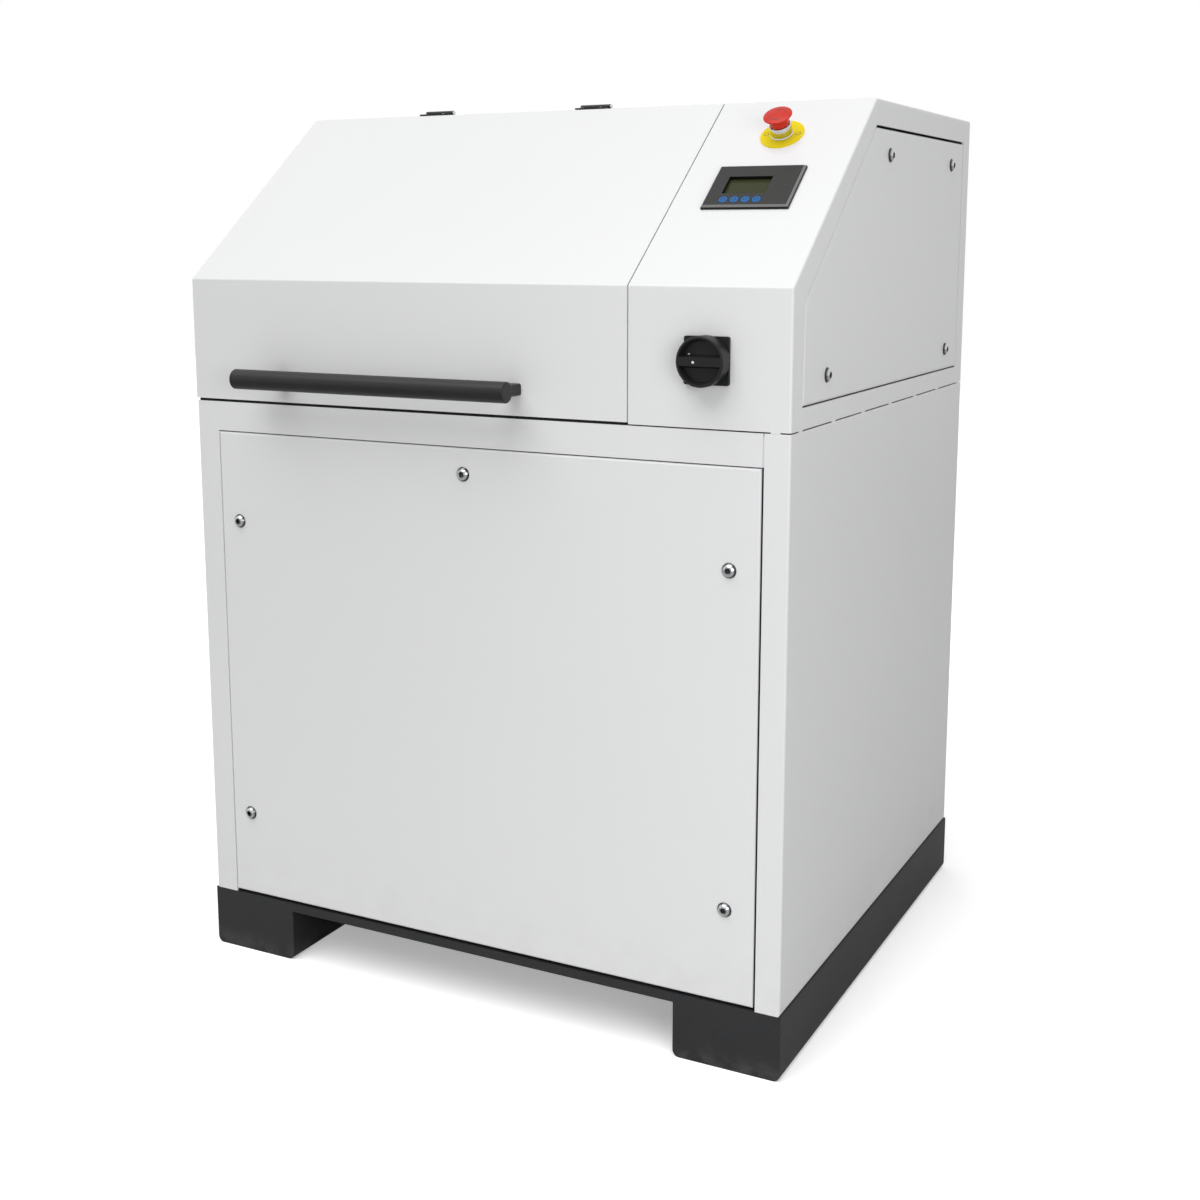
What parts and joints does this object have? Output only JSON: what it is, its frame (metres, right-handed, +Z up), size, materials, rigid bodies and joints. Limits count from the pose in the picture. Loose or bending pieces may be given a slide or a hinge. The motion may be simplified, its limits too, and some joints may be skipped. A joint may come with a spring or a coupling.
{
  "type": "vibratory disc mill",
  "caption": "Floor-standing vibratory disc mill: white sheet-metal cabinet on a dark plinth, sloping hinged lid over the grinding jar, control console at the right.",
  "frame": {"origin": "on the floor, under the middle of the cabinet", "axes": "+X to the right seen from the front, +Y to the rear, +Z up"},
  "size_m": [0.9274, 0.908, 1.268],
  "materials": {
    "white_powder_coat": "fine textured powder coat, satin",
    "dark_powder_coat": "fine textured powder coat, satin",
    "black_coated_metal": "smooth satin coat",
    "galvanised_steel": "zinc plated",
    "turned_steel": "machined",
    "hardened_steel": "ground",
    "polished_screw": "polished",
    "cast_housing": "painted casting",
    "motor_aluminium": "die cast, painted",
    "spring_steel": "wound wire",
    "black_rubber": "matt",
    "sound_foam": "open-cell foam with a matt skin",
    "grey_plastic": "fine grain",
    "black_plastic": "fine grain",
    "screen_plastic": "glossy window over a display",
    "blue_key": "satin",
    "yellow_plate": "satin",
    "bright_collar": "polished",
    "red_button": "gloss",
    "electronics_plastic": "moulded"
  },
  "bodies": {
    "cabinet": {"base_frame": "dark_powder_coat", "side_wall_left": "white_powder_coat", "side_wall_right": "white_powder_coat", "front_rail": "white_powder_coat", "front_panel": "white_powder_coat", "rear_panel": "white_powder_coat", "deck_plate": "galvanised_steel", "console_housing": "white_powder_coat", "console_side_panel": "white_powder_coat", "control_electronics": "electronics_plastic", "rear_hood": "white_powder_coat", "hood_lining": "sound_foam", "panel_screws": "polished_screw", "lid_seal": "black_rubber", "hinge_leaves_fixed": "black_coated_metal", "hinge_pins": "turned_steel", "gas_studs_fixed": "turned_steel", "motor_stand": "galvanised_steel", "motor_housing": "motor_aluminium", "motor_cowl": "black_plastic", "drive_lantern": "cast_housing", "lantern_bearings": "hardened_steel", "spring_carrier": "galvanised_steel", "support_springs": "spring_steel", "display_bezel": "grey_plastic", "display_screen": "screen_plastic", "estop_plate": "yellow_plate", "estop_collar": "bright_collar", "switch_plate": "black_plastic", "cable_gland": "black_plastic"},
    "lid": {"lid_hood": "white_powder_coat", "lid_lining": "sound_foam", "lid_handle_bar": "black_coated_metal", "lid_handle_brackets": "black_coated_metal", "hinge_leaves_lid": "black_coated_metal", "gas_studs_lid": "turned_steel"},
    "gas_cylinders": {"gas_spring_cylinders": "black_coated_metal"},
    "gas_rods": {"gas_spring_rods": "polished_screw"},
    "drive_shaft": {"motor_rotor": "turned_steel", "shaft_coupling": "turned_steel", "eccentric_shaft": "turned_steel", "counterweight": "cast_housing"},
    "table": {"vibrating_table": "turned_steel", "table_bearings": "hardened_steel", "jar_base": "hardened_steel", "jar_lid": "hardened_steel", "clamp_posts": "turned_steel"},
    "grinding_ring": {"grinding_ring": "hardened_steel"},
    "grinding_disc": {"grinding_disc": "hardened_steel"},
    "clamp_bar": {"clamp_bar": "turned_steel"},
    "clamp_pad": {"clamp_pad": "turned_steel"},
    "clamp_screw": {"clamp_spindle": "turned_steel", "clamp_handwheel": "black_plastic"},
    "display_key_1": {"display_key_1": "blue_key"},
    "display_key_2": {"display_key_2": "blue_key"},
    "display_key_3": {"display_key_3": "blue_key"},
    "display_key_4": {"display_key_4": "blue_key"},
    "estop_stem": {"estop_stem": "black_plastic"},
    "estop_button": {"estop_button": "red_button"},
    "main_switch": {"switch_handle": "black_plastic"}
  },
  "joints": [
    {"name": "lid_hinge", "type": "hinge", "parent": "cabinet", "child": "lid", "pos_m": [0, -0.073, 1.2642], "axis": [-1, 0, 0], "range_deg": [0, 75]},
    {"name": "gas_cylinder_swing", "type": "hinge", "parent": "cabinet", "child": "gas_cylinders", "pos_m": [0, 0.067, 1.02171], "axis": [-1, 0, 0], "range_deg": [0, 37.5]},
    {"name": "gas_rod_swing", "type": "hinge", "parent": "lid", "child": "gas_rods", "pos_m": [0, -0.27099, 1.06621], "axis": [-1, 0, 0], "range_deg": [-37.5, 0]},
    {"name": "drive_spin", "type": "hinge", "parent": "cabinet", "child": "drive_shaft", "pos_m": [-0.11, -0.055, 0.46], "axis": [0, 0, 1], "continuous": true},
    {"name": "table_orbit", "type": "hinge", "parent": "drive_shaft", "child": "table", "pos_m": [-0.107, -0.055, 0.76], "axis": [0, 0, 1], "continuous": true, "deforming": ["support_springs"]},
    {"name": "grinding_ring_slide", "type": "slide", "parent": "table", "child": "grinding_ring", "axis": [1, 0, 0], "range_m": [-0.02, 0.02]},
    {"name": "grinding_disc_slide", "type": "slide", "parent": "grinding_ring", "child": "grinding_disc", "axis": [1, 0, 0], "range_m": [-0.0165, 0.0165]},
    {"name": "clamp_bar_swing", "type": "hinge", "parent": "table", "child": "clamp_bar", "pos_m": [-0.257, -0.055, 0.996], "axis": [0, 0, 1], "range_deg": [0, 100]},
    {"name": "clamp_pad_lift", "type": "slide", "parent": "clamp_bar", "child": "clamp_pad", "axis": [0, 0, 1], "range_m": [0, 0.009]},
    {"name": "clamp_screw_turn", "type": "hinge", "parent": "clamp_pad", "child": "clamp_screw", "pos_m": [-0.107, -0.055, 1], "axis": [0, 0, 1], "range_deg": [0, 1080]},
    {"name": "estop_press", "type": "slide", "parent": "cabinet", "child": "estop_stem", "axis": [0, 0.6216, -0.7834], "range_m": [0, 0.005]},
    {"name": "estop_twist", "type": "hinge", "parent": "estop_stem", "child": "estop_button", "pos_m": [0.35, -0.17502, 1.23481], "axis": [0, -0.6216, 0.7834], "range_deg": [0, 45], "stiffness_Nm_per_rad": 0.05, "springref_deg": -2.86},
    {"name": "main_switch_turn", "type": "hinge", "parent": "cabinet", "child": "main_switch", "pos_m": [0.35, -0.41, 0.928], "axis": [0, 1, 0], "range_deg": [0, 90]},
    {"name": "display_key_1_press", "type": "slide", "parent": "cabinet", "child": "display_key_1", "axis": [0, 0.6216, -0.7834], "range_m": [0, 0.0008], "stiffness_N_per_m": 300, "springref_m": -0.0005},
    {"name": "display_key_2_press", "type": "slide", "parent": "cabinet", "child": "display_key_2", "axis": [0, 0.6216, -0.7834], "range_m": [0, 0.0008], "stiffness_N_per_m": 300, "springref_m": -0.0005},
    {"name": "display_key_3_press", "type": "slide", "parent": "cabinet", "child": "display_key_3", "axis": [0, 0.6216, -0.7834], "range_m": [0, 0.0008], "stiffness_N_per_m": 300, "springref_m": -0.0005},
    {"name": "display_key_4_press", "type": "slide", "parent": "cabinet", "child": "display_key_4", "axis": [0, 0.6216, -0.7834], "range_m": [0, 0.0008], "stiffness_N_per_m": 300, "springref_m": -0.0005}
  ],
  "couplings": [
    {"joint": "gas_cylinder_swing", "follows": "lid_hinge", "ratio": 0.5},
    {"joint": "gas_rod_swing", "follows": "lid_hinge", "ratio": -0.5},
    {"joint": "table_orbit", "follows": "drive_spin", "ratio": -1},
    {"joint": "clamp_pad_lift", "follows": "clamp_screw_turn", "m_per_rad": 0.00047746}
  ]
}
